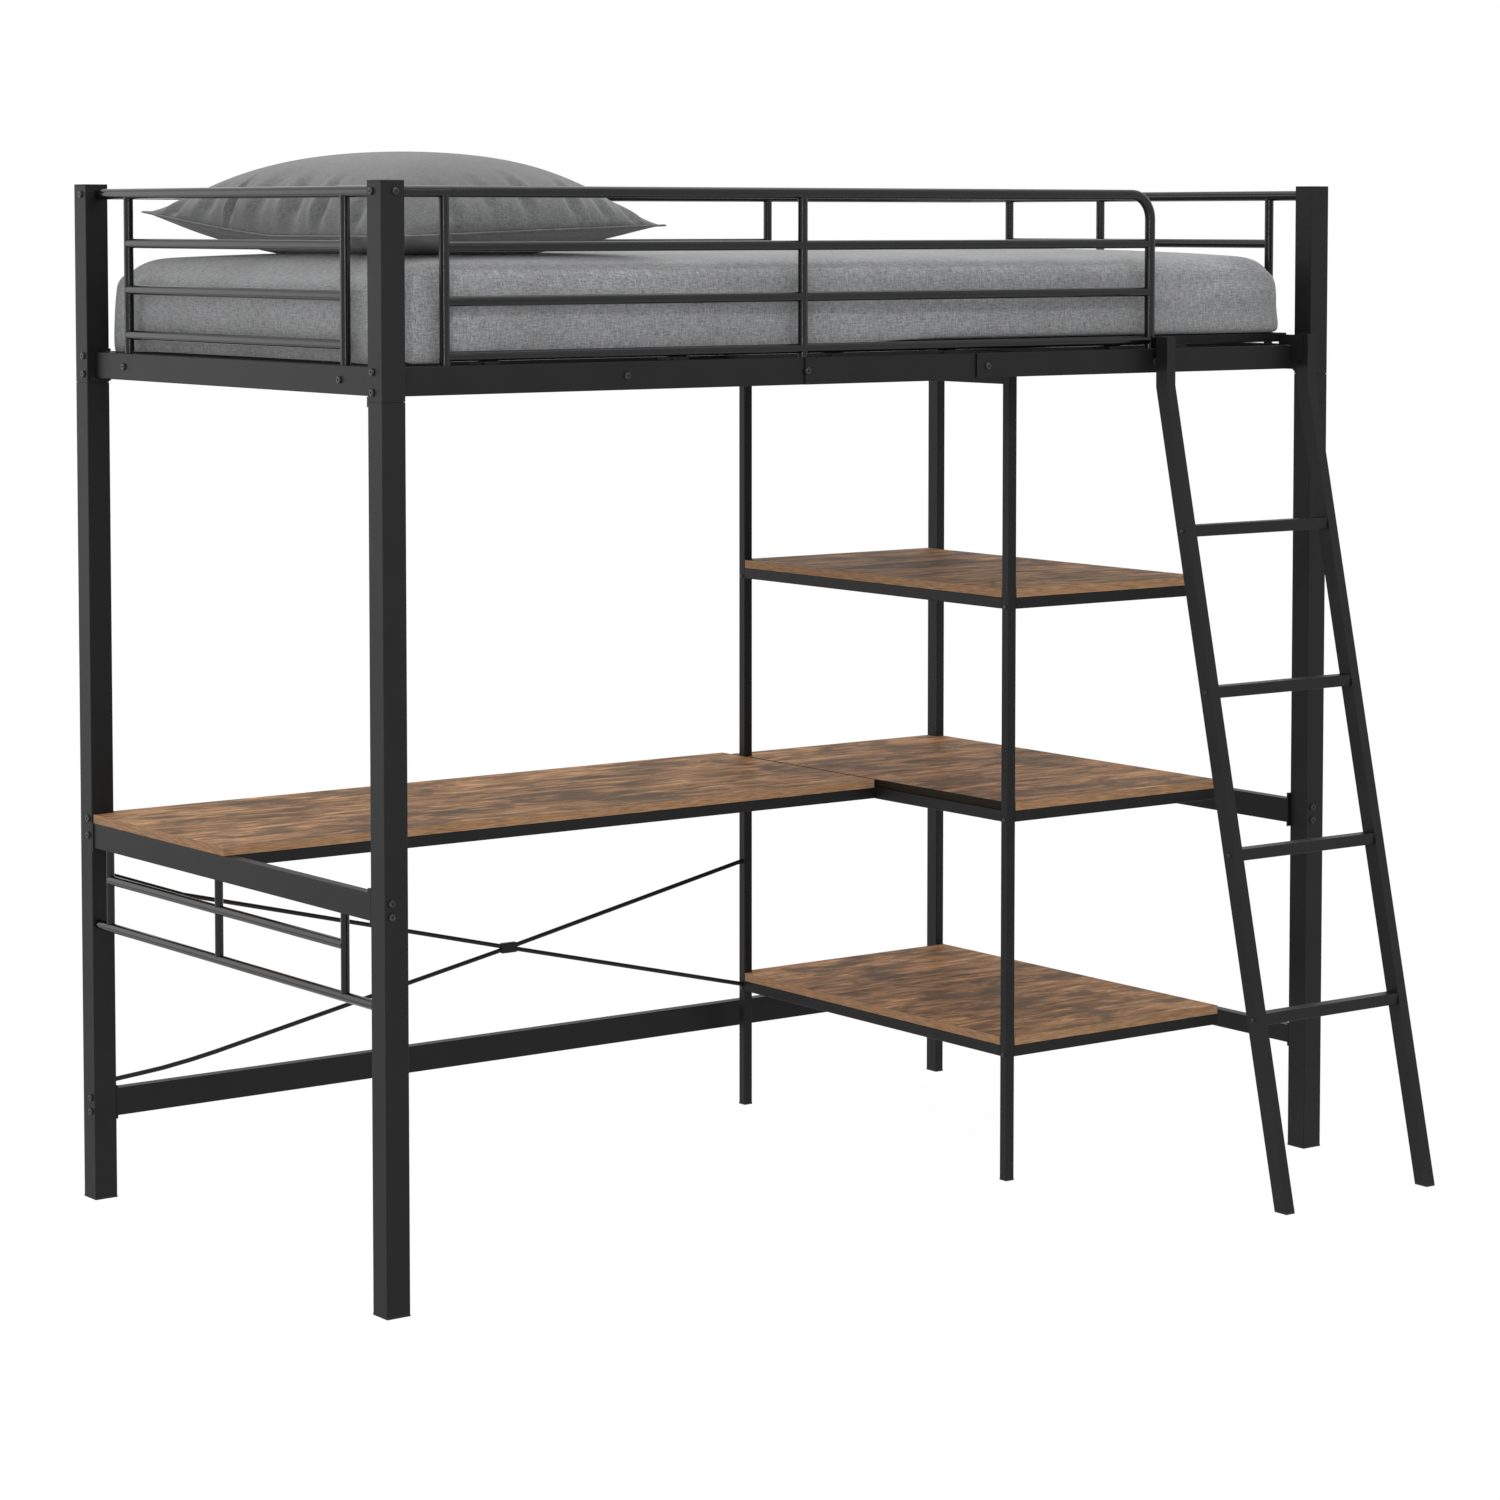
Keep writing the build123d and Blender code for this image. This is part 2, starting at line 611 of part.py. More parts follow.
def board(x_low, x_high, y_low, y_high, top, holes):
    """Board cut away where posts pass through it."""
    made = block((x_low, y_low, top - BOARD), (x_high, y_high, top))
    for low, high in holes:
        gap = BOARD_GAP / 2
        corner = (low[0] - gap, low[1] - gap, top - 2 * BOARD)
        made -= block(corner, (high[0] + gap, high[1] + gap, top + BOARD))
    return made


def post_hole(x, y, wide=SLIM, deep=SLIM):
    """Footprint of a post, as two corners."""
    return (x, y), (x + wide, y + deep)


def desk_top():
    """Long desk board, cut round the back left post."""
    hole = post_hole(*POST_CORNERS["back_left"], POST + 1, POST + 10)
    hole = ((-POST, hole[0][1] - 1), hole[1])
    return board(DESK_LEFT, SHELF_X, DESK_FRONT, DESK_BACK, DESK_TOP, [hole])


def shelf_board(level):
    """One shelf board, cut round the two slim posts, and round the leg where it reaches past it."""
    back = RETURN_BACK if level == "middle" else SHELF_BACK
    holes = [
        post_hole(SHELF_X - 1, SHELF_Y - 1, SLIM + 1, SLIM + 1),
        post_hole(SHELF_X - 1, SHELF_BACK - SLIM, SLIM + 1, SLIM if level == "middle" else SLIM + 1),
    ]
    if level == "middle":
        holes.append(post_hole(LEG_X, SHELF_BACK, SLIM + 1, LEG_DEEP))
    start = SHELF_X + (BOARD_JOINT if level == "middle" else 0)
    return board(start, shelf_end(level), SHELF_Y, back, SHELF_TOPS[level], holes)


def right_rail(z_low, z_high):
    """Rail from the front right post towards the back, and its return to the slim leg."""
    x_low, x_high = RIGHT_RAIL_X, RIGHT_RAIL_X + RIGHT_RAIL_DEEP
    y_low, y_high = RIGHT_RAIL_BACK - RIGHT_RAIL_DEEP - 4, RIGHT_RAIL_BACK - 4
    rail = tube((x_low, POST + BRACKET, z_low), (x_high, RIGHT_RAIL_BACK, z_high), 1)
    turned = tube((SHELF_RIGHT, y_low, z_low), (x_low, y_high, z_high), 0)
    return solids(drilled(rail), turned)


def add_desk():
    """Desk rails, shelf posts, shelf frames and all boards."""
    desk_high = DESK_TOP - BOARD
    desk_low = desk_high - DESK_RAIL_TALL
    far_y = WIDTH - POST - BRACKET
    rail_end = DESK_LEFT + DESK_RAIL_DEEP
    left = ((DESK_LEFT, POST + BRACKET, desk_low), (rail_end, far_y, desk_high))
    parts["left_desk_rail"] = drilled(tube(*left, 1))
    back_high = BACK_RAIL_Y + BACK_RAIL_DEEP
    levels = {"desk_back_rail": (desk_low, desk_high), "back_lower_rail": (LOWER_RAIL_LOW, LOWER_RAIL_TOP)}
    for name, (z_low, z_high) in levels.items():
        run = ((POST + BRACKET, BACK_RAIL_Y, z_low), (SHELF_RIGHT, back_high, z_high))
        parts[name] = drilled(tube(*run, 0))
    for name, heights in RIGHT_RAIL_ZS.items():
        parts[name] = right_rail(*heights)
    front = ((rail_end, DESK_FRONT + 2, desk_high - FRAME_TALL), (SHELF_X, DESK_FRONT + 2 + SLIM, desk_high))
    parts["desk_front_rail"] = tube(*front, 0)
    parts["desk_top"] = desk_top()
    for name, y in (("shelf_post_front", SHELF_Y), ("shelf_post_back", SHELF_BACK - SLIM)):
        low, high = (SHELF_X, y, FOOT_CAP), (SHELF_X + SLIM, y + SLIM, BEARER_LOW)
        parts[name] = tube(low, high, 2)
    tie = ((SHELF_X, SHELF_Y + SLIM, TIE_LOW), (SHELF_X + SLIM, SHELF_BACK - SLIM, TIE_TOP))
    parts["shelf_top_tie"] = tube(*tie, 1)
    names = {"top": "top_shelf_board", "middle": "desk_return_board", "bottom": "bottom_shelf_board"}
    for level, name in names.items():
        parts[f"{level}_shelf_frame"] = solids(*shelf_frame(level))
        parts[name] = shelf_board(level)


def shelf_screws():
    """Screws through the slim posts into the shelf frames."""
    made = []
    for level in SHELF_TOPS:
        z = frame_top(level) - FRAME_TALL + SCREW
        for y in (SHELF_Y + SLIM / 2, SHELF_BACK - SLIM / 2):
            made.append(small_screw((SHELF_X, y, z), (1, 0, 0), SLIM + 6))
    return made


def left_infill_bars():
    """Panel under the left desk rail: two bars along Y and three short uprights."""
    top_z = DESK_TOP - BOARD - DESK_RAIL_TALL
    high_z, low_z = INFILL_ZS
    first, _, last = INFILL_UPRIGHT_YS
    low_bar = rod((INFILL_X, POST, low_z), (INFILL_X, WIDTH - POST, low_z), BAR)
    uprights = [rod((INFILL_X, y, low_z), (INFILL_X, y, top_z), INFILL_UPRIGHT) for y in INFILL_UPRIGHT_YS]
    made = [pipe((INFILL_X, POST, low_z), (INFILL_X, WIDTH - POST, low_z), BAR)]
    for y in INFILL_UPRIGHT_YS:
        made.append(pipe((INFILL_X, y, low_z), (INFILL_X, y, top_z), INFILL_UPRIGHT, [low_bar]))
    for a, b in zip(INFILL_UPRIGHT_YS, INFILL_UPRIGHT_YS[1:]):
        made.append(pipe((INFILL_X, a, high_z), (INFILL_X, b, high_z), BAR, uprights))
    return solids(*made)


# ---- cross brace ---------------------------------------------------------------------------------------


def brace_hub():
    """Small rounded barrel that the four rods of the brace meet in."""
    return fillet(hub_block().edges(), 3)


def hub_block():
    """The hub with sharp edges."""
    return Pos(*BRACE_HUB) * Box(*BRACE_HUB_SIZE)


def bent_rod(points):
    """Round bar through several points."""
    made = rod(points[0], points[1], ROD)
    for start, end in zip(points[1:], points[2:]):
        made += Pos(*start) * Sphere(ROD / 2) + rod(start, end, ROD)
    return made


def brace_rods():
    """Two bent rods from the back left post to the hub, and two straight ones on to the slim post."""
    hub_x, hub_y, _ = BRACE_HUB
    slope = (hub_y - BRACE_FROM_Y) / (hub_x - POST)
    left_side = block((0, 0, 0), (POST, WIDTH, HEIGHT))
    right_side = block((SHELF_X, 0, 0), (SHELF_RIGHT, WIDTH, HEIGHT))
    made = []
    for end_z, bends in ((HIGH_ROD_END, HIGH_ROD_BENDS), (LOW_ROD_END, LOW_ROD_BENDS)):
        points = [(x, BRACE_FROM_Y + slope * (x - POST), z) for x, z in [(POST, end_z)] + bends]
        made.append(bent_rod(points + [BRACE_HUB]) - hub_block() - left_side)
    for end_z in POST_ROD_ENDS:
        straight = rod(BRACE_HUB, (SHELF_X + 2, SHELF_BACK - SLIM / 2, end_z), ROD)
        made.append(straight - hub_block() - right_side)
    return solids(*made)


# ---- ladder --------------------------------------------------------------------------------------------


def ladder_outline(inset, z_low, z_high):
    """Side outline of a ladder rail, with its front and back drawn in by inset: upright, then leaning out."""
    deep = LADDER_DEEP - 2 * inset
    front = LADDER_FACE + inset
    bend = LADDER_BEND - inset * math.tan(LEAN / 2)
    foot = front - (bend - z_low) * math.tan(LEAN)
    back_bend = bend - deep * math.tan(LEAN / 2)
    return [
        (front, z_high),
        (front, bend),
        (foot, z_low),
        (foot + deep / math.cos(LEAN), z_low),
        (front + deep, back_bend),
        (front + deep, z_high),
    ]


def side_plate(points, x_low, x_high):
    """Plate of a side outline in Y and Z, between two X values."""
    corners = [(x_low, y, z) for y, z in points]
    face = make_face(Polyline(*corners, close=True))
    return extrude(face, x_high - x_low, dir=(1, 0, 0))


def ladder_hook(x_low):
    """Hook plate on the inner side of a ladder rail, which hangs over the side rail."""
    tip_front, tip_back = SIDE_BACK + 0.7, SIDE_BACK + 5.5
    slot_front = RIGHT_FACE - 0.5
    points = [
        (HOOK_FRONT, HOOK_LOW),
        (HOOK_FRONT, LADDER_TOP - 2),
        (tip_back, LADDER_TOP - 2),
        (tip_back, HOOK_TIP),
        (tip_front, HOOK_TIP),
        (tip_front, RAIL_TOP + HOOK_GAP),
        (slot_front, RAIL_TOP + HOOK_GAP),
        (slot_front, HOOK_LOW),
    ]
    return side_plate(points, x_low, x_low + HOOK)


def ladder_rail(x):
    """Bent rectangular tube of the ladder, drilled for the rung screws."""
    outside = side_plate(ladder_outline(0, LADDER_PAD, LADDER_TOP), x, x + LADDER_WIDE)
    hollow = side_plate(ladder_outline(WALL, 0, LADDER_TOP - WALL), x + WALL, x + LADDER_WIDE - WALL)
    made = outside - hollow
    for z in RUNG_ZS:
        made -= rod((x - 1, rung_y(z), z), (x + LADDER_WIDE + 1, rung_y(z), z), SCREW)
    return made


def rung_y(z):
    """Middle of the leaning rail's depth at a height."""
    front = LADDER_FACE - (LADDER_BEND - z) * math.tan(LEAN)
    return front + LADDER_DEEP / math.cos(LEAN) / 2


def add_ladder():
    """Two rails with hooks, four rungs, feet and screws."""
    left_x, right_x = LADDER_XS
    inner_low, inner_high = left_x + LADDER_WIDE, right_x
    parts["ladder_rail_left"] = ladder_rail(left_x)
    parts["ladder_rail_right"] = ladder_rail(right_x)
    parts["ladder_hooks"] = solids(ladder_hook(inner_low), ladder_hook(inner_high - HOOK))
    rungs, screws, feet = [], [], []
    for z in RUNG_ZS:
        y = rung_y(z)
        low = (inner_low, y - RUNG_DEEP / 2, z - RUNG_TALL / 2)
        high = (inner_high, y + RUNG_DEEP / 2, z + RUNG_TALL / 2)
        rungs.append(tube(low, high, 0))
        screws.append(small_screw((left_x, y, z), (1, 0, 0), LADDER_WIDE + 8))
        screws.append(small_screw((right_x + LADDER_WIDE, y, z), (-1, 0, 0), LADDER_WIDE + 8))
    for x in LADDER_XS:
        pad = side_plate(ladder_outline(0, 0, LADDER_PAD)[2:4] + foot_line(0, LADDER_PAD), x, x + LADDER_WIDE)
        plug = side_plate(foot_line(WALL + 0.2, LADDER_PAD - 1)[::-1] + foot_line(WALL + 0.2, 18),
                          x + WALL + 0.2, x + LADDER_WIDE - WALL - 0.2)
        feet.append(pad + plug)
    parts["ladder_rungs"] = solids(*rungs)
    parts["ladder_screws"] = solids(*screws)
    parts["ladder_feet"] = solids(*feet)


def foot_line(inset, z):
    """The leaning rail's back and front at a height, drawn in by inset."""
    outline = ladder_outline(inset, z, LADDER_TOP)
    return [outline[3], outline[2]]


# ---- bedding -------------------------------------------------------------------------------------------


def mattress():
    """Mattress as one closed rounded block."""
    low = (MATTRESS_X, MATTRESS_Y, DECK_TOP + MATTRESS_LIFT)
    high = [a + b for a, b in zip(low, MATTRESS)]
    made = block(low, high)
    made = fillet(made.edges().filter_by(Axis.Z), MATTRESS_ROUND + 6)
    return fillet(made.edges().group_by(Axis.Z)[-1] + made.edges().group_by(Axis.Z)[0], MATTRESS_ROUND)


def pillow():
    """Pillow as one closed rounded block, lying on the mattress."""
    wide, long, tall = PILLOW
    x, y = PILLOW_CENTRE
    z = DECK_TOP + MATTRESS_LIFT + MATTRESS[2] + MATTRESS_LIFT
    made = block((x - wide / 2, y - long / 2, z), (x + wide / 2, y + long / 2, z + tall))
    made = fillet(made.edges().filter_by(Axis.Z), PILLOW_ROUND)
    return fillet(made.edges().group_by(Axis.Z)[-1] + made.edges().group_by(Axis.Z)[0], PILLOW_ROUND - 8)


# ---- whole bed -----------------------------------------------------------------------------------------


def main():
    sleeves, feet = add_posts()
    parts["back_right_leg"] = back_right_leg()
    feet += [
        slim_foot(LEG_X, SHELF_BACK, LEG_DEEP),
        slim_foot(SHELF_X, SHELF_Y, SLIM),
        slim_foot(SHELF_X, SHELF_BACK - SLIM, SLIM),
    ]
    parts["leg_foot_caps"] = solids(*feet)
    add_bed_rails(sleeves)
    add_guards()
    parts["deck_frame_left"] = deck_frame(DECK_HEAD, DECK_SPLIT - 0.5, LEFT_LUG_XS)
    parts["deck_frame_right"] = deck_frame(DECK_SPLIT + 0.5, DECK_FOOT, RIGHT_LUG_XS)
    parts["deck_slats"] = deck_slats()
    parts["deck_cross_bearers"] = deck_cross_bearers()
    add_desk()
    parts["left_infill_bars"] = left_infill_bars()
    parts["brace_hub"] = brace_hub()
    parts["brace_rods"] = brace_rods()
    parts["rail_brackets"] = rail_brackets()
    screws = shelf_screws()
    parts["frame_bolts"] = solids(*frame_bolts(), *screws)
    screwed = ["shelf_post_front", "shelf_post_back"] + [f"{level}_shelf_frame" for level in SHELF_TOPS]
    for name in screwed:
        parts[name] = solids(*[cut_by(piece, screws) for piece in parts[name].solids()])
    add_ladder()
    parts["mattress"] = mattress()
    parts["pillow"] = pillow()
    write()


def cut_by(shape, tools):
    """The shape less each tool that it meets."""
    for tool in tools:
        shape = shape - tool
    return shape


def write():
    """Writes each node about the middle of the whole footprint."""
    boxes = [shape.bounding_box() for shape in parts.values()]
    mid_x = (min(b.min.X for b in boxes) + max(b.max.X for b in boxes)) / 2
    mid_y = (min(b.min.Y for b in boxes) + max(b.max.Y for b in boxes)) / 2
    os.makedirs("parts", exist_ok=True)
    for name, shape in parts.items():
        moved = Pos(-mid_x, -mid_y, 0) * Compound(children=list(shape.solids()))
        export_step(moved, f"parts/{name}.step")
    print(len(parts), "nodes, footprint middle", round(mid_x, 3), round(mid_y, 3))


main()
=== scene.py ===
import bpy
import json
import math
import numpy as np
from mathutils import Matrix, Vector


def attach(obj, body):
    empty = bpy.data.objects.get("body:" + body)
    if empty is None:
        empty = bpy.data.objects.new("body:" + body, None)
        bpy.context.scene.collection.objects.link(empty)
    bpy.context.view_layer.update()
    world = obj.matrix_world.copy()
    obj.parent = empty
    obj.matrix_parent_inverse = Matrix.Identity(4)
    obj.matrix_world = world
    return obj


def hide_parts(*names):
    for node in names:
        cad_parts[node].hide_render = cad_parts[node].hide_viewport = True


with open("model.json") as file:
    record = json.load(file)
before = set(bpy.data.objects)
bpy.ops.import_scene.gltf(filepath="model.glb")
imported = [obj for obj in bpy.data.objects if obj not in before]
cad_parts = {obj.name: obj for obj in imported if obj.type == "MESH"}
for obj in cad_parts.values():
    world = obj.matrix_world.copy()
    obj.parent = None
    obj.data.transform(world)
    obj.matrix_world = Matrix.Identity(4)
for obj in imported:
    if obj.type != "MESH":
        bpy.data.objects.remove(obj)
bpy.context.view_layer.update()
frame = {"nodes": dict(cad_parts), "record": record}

# Places below are given from the front left post's outer floor corner, as the bed is measured; this is
# where that corner lies in the shared frame, in metres.
CORNER = np.array([-0.996, -0.332058, 0.0])

# Bedding, in metres from that corner
MATTRESS_LOW = (0.041, 0.048, 1.487)
MATTRESS_HIGH = (1.944, 0.958, 1.617)
MATTRESS_GRID = (150, 72, 14)
MATTRESS_CROWN = 0.014
MATTRESS_LIP = 0.02
MATTRESS_GIVE = 0.006
FRONT_CORNER, BACK_CORNER = 0.042, 0.014
BASE_EDGE = 0.0585
PILLOW_MIDDLE = (0.345, 0.515)
PILLOW_HALF = (0.252, 0.413)
PILLOW_GRID = (91, 151)
PILLOW_SEAT = 1.6325
PILLOW_SINK = 0.0008
PILLOW_SEAM = 1.663
PILLOW_TOP = 1.801
PILLOW_GIVE = 0.014
SEAM_HALF_WIDTH, SEAM_HALF_HEIGHT = 0.0042, 0.0017
THREAD_PITCH = 0.0022

# Joint between the desk's two boards, in the shared frame, where the oak finish paints a shadow into the gap
BOARD_JOINT_X = 0.358
BOARD_JOINT_Z = 0.664


def placed(points):
    """Points measured from the post corner, moved into the shared frame."""
    return np.asarray(points, float) + CORNER


# ---- shader maths --------------------------------------------------------------------------------------


class Value:
    """A number that varies over a surface. Arithmetic on it adds Math nodes."""

    def __init__(self, paint, socket):
        self.paint = paint
        self.socket = socket

    def math(self, operation, *others):
        values = dict(enumerate((self, *others)))
        return self.paint.add("ShaderNodeMath", {"operation": operation}, values)[0]

    def __add__(self, other):
        return self.math("ADD", other)

    def __sub__(self, other):
        return self.math("SUBTRACT", other)

    def __mul__(self, other):
        return self.math("MULTIPLY", other)

    def __rsub__(self, other):
        return Value.of(self.paint, other).math("SUBTRACT", self)

    def __abs__(self):
        return self.math("ABSOLUTE")

    __radd__ = __add__
    __rmul__ = __mul__

    @staticmethod
    def of(paint, number):
        """A plain number as a value of the paint."""
        return paint.add("ShaderNodeMath", {"operation": "ADD"}, {0: number, 1: 0.0})[0]

    def sine(self):
        return self.math("SINE")

    def between(self, low, high):
        """0 below low, 1 above high, smooth in between."""
        settings = {"interpolation_type": "SMOOTHSTEP"}
        values = {"Value": self, "From Min": low, "From Max": high}
        return self.paint.add("ShaderNodeMapRange", settings, values)[0]


class Paint:
    """One material and the nodes in it."""

    def __init__(self, name, **shader):
        self.material = bpy.data.materials.new(name)
        self.material.use_nodes = True
        self.tree = self.material.node_tree
        self.shader = next(n for n in self.tree.nodes if n.type == "BSDF_PRINCIPLED")
        for socket, value in shader.items():
            self.shader.inputs[socket.replace("_", " ")].default_value = value

    def add(self, kind, settings=None, values=None):
        """Adds a node: its settings first, then its sockets' values or links. Returns its outputs."""
        node = self.tree.nodes.new(kind)
        for name, setting in (settings or {}).items():
            if name == "stops":
                self.set_stops(node, setting)
            else:
                setattr(node, name, setting)
        for socket, value in (values or {}).items():
            self.join(node.inputs[socket], value)
        return [Value(self, output) for output in node.outputs]

    def set_stops(self, node, stops):
        ramp = node.color_ramp
        while len(ramp.elements) < len(stops):
            ramp.elements.new(0.5)
        for element, (position, colour) in zip(ramp.elements, stops):
            element.position = position
            element.color = (*colour, 1.0)

    def join(self, socket, value):
        if isinstance(value, Value):
            self.tree.links.new(value.socket, socket)
        else:
            socket.default_value = value

    def object_place(self, scale=(1, 1, 1)):
        """Object coordinates, stretched."""
        place = self.add("ShaderNodeTexCoord")[3]
        return self.add("ShaderNodeMapping", {}, {"Vector": place, "Scale": scale})[0]

    def uv_place(self, name, scale=(1, 1, 1)):
        """Places on a map of the piece, stretched."""
        place = self.add("ShaderNodeUVMap", {"uv_map": name})[0]
        return self.add("ShaderNodeMapping", {}, {"Vector": place, "Scale": scale})[0]

    def noise(self, place, scale, detail, rough=0.5, warp=0.0):
        values = {"Vector": place, "Scale": scale, "Detail": detail, "Roughness": rough, "Distortion": warp}
        return self.add("ShaderNodeTexNoise", {}, values)[0]

    def mix(self, factor, first, second):
        """Mix of two colours by a factor."""
        settings = {"data_type": "RGBA", "clamp_factor": True}
        colours = [c if isinstance(c, Value) else (*c, 1.0) for c in (first, second)]
        return self.add("ShaderNodeMix", settings, {0: factor, 6: colours[0], 7: colours[1]})[2]

    def ramp(self, factor, stops):
        return self.add("ShaderNodeValToRGB", {"stops": stops}, {"Fac": factor})[0]

    def facing(self):
        """The surface's direction, as three numbers."""
        normal = self.add("ShaderNodeNewGeometry")[1]
        return self.add("ShaderNodeSeparateXYZ", {}, {0: normal})

    def parts(self, place):
        """The three numbers of a place."""
        return self.add("ShaderNodeSeparateXYZ", {}, {0: place})

    def bump(self, height, distance, strength):
        values = {"Height": height, "Distance": distance, "Strength": strength}
        self.join(self.shader.inputs["Normal"], self.add("ShaderNodeBump", {}, values)[0])

    def set(self, **links):
        for socket, value in links.items():
            self.join(self.shader.inputs[socket.replace("_", " ")], value)


# ---- finishes ------------------------------------------------------------------------------------------


def powder_coat(name, tone, rough, specular):
    """Black powder coat: fine orange peel, a faint mottle, and handling marks that polish it a little."""
    paint = Paint(name, Specular_IOR_Level=specular)
    place = paint.object_place()
    peel = paint.noise(place, 620, 3)
    speck = paint.noise(place, 1500, 1)
    cloud = paint.noise(place, 9, 3, 0.6)
    rubbed = paint.noise(place, 26, 4, 0.65, 0.4).between(0.6, 0.78)
    dark = tuple(c * 0.8 for c in tone)
    light = tuple(c * 1.35 for c in tone)
    colour = paint.mix(cloud.between(0.3, 0.7), dark, tone)
    colour = paint.mix(speck.between(0.55, 0.8) * 0.5, colour, light)
    paint.set(Base_Color=colour, Roughness=rough + peel * 0.1 - rubbed * 0.1)
    paint.bump(peel * 0.7 + speck * 0.3, 0.00012, 0.55)
    return paint.material


def moulded_plastic():
    """Dull black plastic with a fine spark-eroded grain."""
    paint = Paint("moulded_black_plastic", Specular_IOR_Level=0.3)
    place = paint.object_place()
    grain = paint.noise(place, 1400, 2)
    cloud = paint.noise(place, 30, 2)
    paint.set(Base_Color=paint.mix(cloud, (0.006, 0.006, 0.0065), (0.012, 0.012, 0.0125)),
              Roughness=0.55 + grain * 0.2)
    paint.bump(grain, 0.0001, 0.6)
    return paint.material


def blackened_bolts():
    """Blackened steel with small bright rubs on the heads."""
    paint = Paint("blackened_bolts", Specular_IOR_Level=0.5)
    place = paint.object_place()
    rub = paint.noise(place, 240, 3).between(0.55, 0.75)
    paint.set(Base_Color=paint.mix(rub, (0.02, 0.02, 0.021), (0.09, 0.09, 0.094)),
              Metallic=0.5 + rub * 0.3, Roughness=0.32 - rub * 0.08)
    paint.bump(rub, 0.0001, 0.4)
    return paint.material


def oak_foil():
    """Rustic brown oak: long figure along the board, dark smoky patches, fine pores, plainer edges, and a
    painted shadow in the gap where the desk's two boards meet."""
    paint = Paint("rustic_oak_foil", Specular_IOR_Level=0.07)
    wander = paint.noise(paint.object_place((0.9, 3.0, 3.0)), 2.2, 3)
    figure = paint.noise(paint.object_place((2.6, 13, 13)), 3.2, 6, 0.66, 0.9)
    fibre = paint.noise(paint.object_place((5, 150, 150)), 2.6, 3, 0.6)
    pores = paint.noise(paint.object_place((9, 330, 330)), 2.0, 2).between(0.6, 0.72)
    patch = paint.noise(paint.object_place((3.2, 6.5, 6.5)), 1.9, 5, 0.65, 0.8)
    stops = [
        (0.36, (0.07, 0.036, 0.017)),
        (0.45, (0.235, 0.122, 0.054)),
        (0.54, (0.42, 0.222, 0.102)),
        (0.64, (0.72, 0.41, 0.205)),
    ]
    grain = paint.ramp(figure * 0.66 + fibre * 0.22 + wander * 0.12, stops)
    smoky = paint.mix(patch.between(0.45, 0.62) * 0.8, grain, (0.095, 0.058, 0.032))
    top = paint.mix(pores * 0.45, smoky, (0.035, 0.021, 0.013))
    streak = paint.noise(paint.object_place((14, 14, 420)), 2.4, 3)
    edge = paint.mix(streak.between(0.3, 0.7), (0.17, 0.096, 0.05), (0.33, 0.19, 0.105))
    upright = abs(paint.facing()[2])
    wood = paint.mix(upright.between(0.4, 0.7), edge, top)
    x, _, z = paint.parts(paint.object_place())
    # Painted shadow: a thin near-black band on the wood beside the gap between the desk's two boards, only
    # at the desk's height.
    beside = abs(x - BOARD_JOINT_X).between(0.0022, 0.0036)
    painted_joint_shadow = (1 - beside) * (1 - abs(z - BOARD_JOINT_Z).between(0.009, 0.02))
    paint.set(Base_Color=paint.mix(painted_joint_shadow, wood, (0.012, 0.008, 0.005)),
              Roughness=0.5 + fibre * 0.14 + pores * 0.08)
    paint.bump(fibre * 0.6 - pores * 0.7 + figure * 0.3, 0.00025, 0.5)
    return paint.material


def woven_cloth(name, dark, light, coarse):
    """Melange cloth: crossed threads with slubs, each a little darker or paler than the next."""
    paint = Paint(name, Specular_IOR_Level=0.15, Sheen_Weight=0.25, Sheen_Roughness=0.5)
    across = paint.uv_place("weave", (1.0, 6.0, 1))
    along = paint.uv_place("weave", (6.0, 1.0, 1))
    weft = paint.noise(across, 62 * coarse, 3, 0.65)
    warp = paint.noise(along, 62 * coarse, 3, 0.65)
    fleck = paint.noise(paint.uv_place("weave"), 300 * coarse, 2, 0.7)
    cloud = paint.noise(paint.object_place(), 5.5, 3, 0.55)
    u, v, _ = paint.parts(paint.uv_place("weave", (math.tau / THREAD_PITCH, math.tau / THREAD_PITCH, 1)))
    threads = u.sine() * v.sine()
    blend = weft * 0.36 + warp * 0.36 + fleck * 0.28
    middle = tuple((a + b) / 2 for a, b in zip(dark, light))
    tone = paint.ramp(blend, [(0.36, dark), (0.5, middle), (0.64, light)])
    worn = paint.mix(cloud.between(0.35, 0.7) * 0.22, tone, tuple(c * 0.7 for c in dark))
    paint.set(Base_Color=worn, Roughness=0.86 + fleck * 0.1)
    paint.bump(threads * 0.35 + blend * 1.4, 0.0006, 0.7)
    return paint.material


def give(material, name):
    """Puts a finish on a CAD node."""
    mesh = frame["nodes"][name].data
    mesh.materials.clear()
    mesh.materials.append(material)


def finish_nodes():
    """Every CAD node takes the finish of its material slot."""
    coat = (0.0068, 0.0069, 0.0072)
    dark_coat = (0.0032, 0.0033, 0.0035)
    finishes = {
        "posts": powder_coat("powder_coat_posts", coat, 0.44, 0.18),
        "rails": powder_coat("powder_coat_rails", coat, 0.42, 0.17),
        "guards": powder_coat("powder_coat_tubes", dark_coat, 0.11, 0.32),
        "deck": powder_coat("powder_coat_base", coat, 0.45, 0.16),
        "shelf_steel": powder_coat("powder_coat_shelves", coat, 0.42, 0.17),
        "brace": powder_coat("powder_coat_brace", coat, 0.34, 0.2),
        "ladder": powder_coat("powder_coat_ladder", coat, 0.4, 0.19),
        "caps": moulded_plastic(),
        "fasteners": blackened_bolts(),
        "boards": oak_foil(),
    }
    for row in frame["record"]["subparts"]:
        if row["material_slot"] in finishes:
            give(finishes[row["material_slot"]], row["node"])


# ---- soft shapes ---------------------------------------------------------------------------------------


